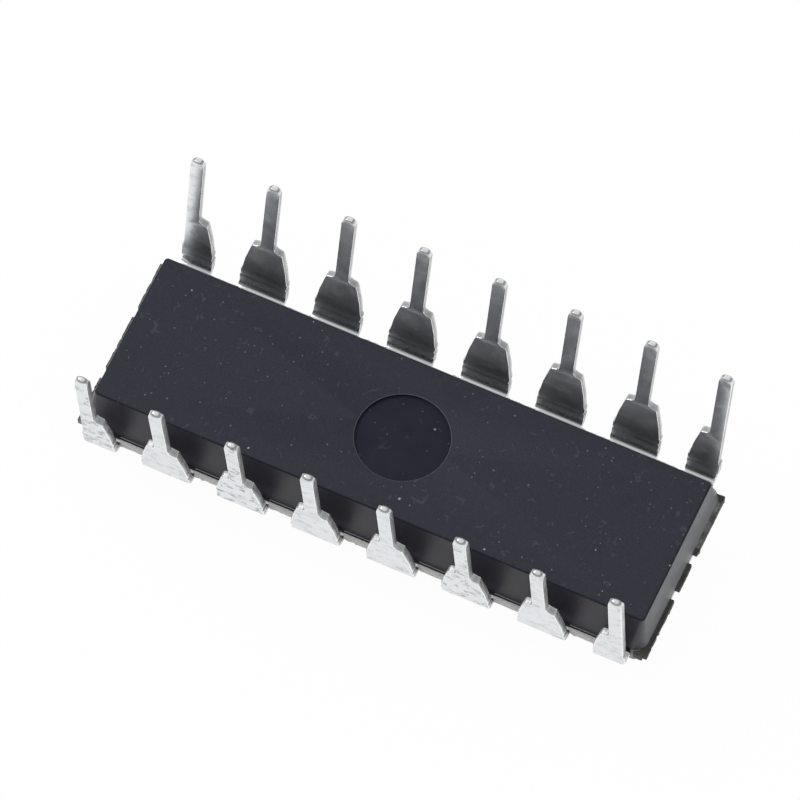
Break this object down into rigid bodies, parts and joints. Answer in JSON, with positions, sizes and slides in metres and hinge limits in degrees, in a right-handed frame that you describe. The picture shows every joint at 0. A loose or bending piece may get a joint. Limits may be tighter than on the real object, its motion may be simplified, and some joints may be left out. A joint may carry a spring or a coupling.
{
  "type": "dual in-line integrated circuit package",
  "caption": "Moulded dual in-line chip package with spade-shouldered legs in two rows, a lead frame, die and bond wires inside, lying on its marked face.",
  "frame": {"origin": "centre of the marked face, which the part lies on", "axes": "+X runs along the package away from the index notch, +Z from the marked face to the lead tips"},
  "size_m": [0.0192, 0.0088, 0.0073],
  "materials": {
    "moulding": "fine matt moulding compound, dark grey",
    "tinned_lead": "tin plate, bright, with fine scratches and grey stains",
    "frame_metal": "plain rolled copper alloy, silvered",
    "adhesive": "silver-filled die adhesive, dull",
    "silicon": "polished silicon",
    "gold_wire": "drawn gold"
  },
  "bodies": {
    "root": {"package_body": "moulding", "die_paddle": "frame_metal", "die_attach": "adhesive", "silicon_die": "silicon", "lead_01": "tinned_lead", "lead_02": "tinned_lead", "lead_03": "tinned_lead", "lead_04": "tinned_lead", "lead_05": "tinned_lead", "lead_06": "tinned_lead", "lead_07": "tinned_lead", "lead_08": "tinned_lead", "lead_09": "tinned_lead", "lead_10": "tinned_lead", "lead_11": "tinned_lead", "lead_12": "tinned_lead", "lead_13": "tinned_lead", "lead_14": "tinned_lead", "lead_15": "tinned_lead", "lead_16": "tinned_lead", "bond_wire_01": "gold_wire", "bond_wire_02": "gold_wire", "bond_wire_03": "gold_wire", "bond_wire_04": "gold_wire", "bond_wire_05": "gold_wire", "bond_wire_06": "gold_wire", "bond_wire_07": "gold_wire", "bond_wire_08": "gold_wire", "bond_wire_09": "gold_wire", "bond_wire_10": "gold_wire", "bond_wire_11": "gold_wire", "bond_wire_12": "gold_wire", "bond_wire_13": "gold_wire", "bond_wire_14": "gold_wire", "bond_wire_15": "gold_wire", "bond_wire_16": "gold_wire"}
  },
  "joints": []
}
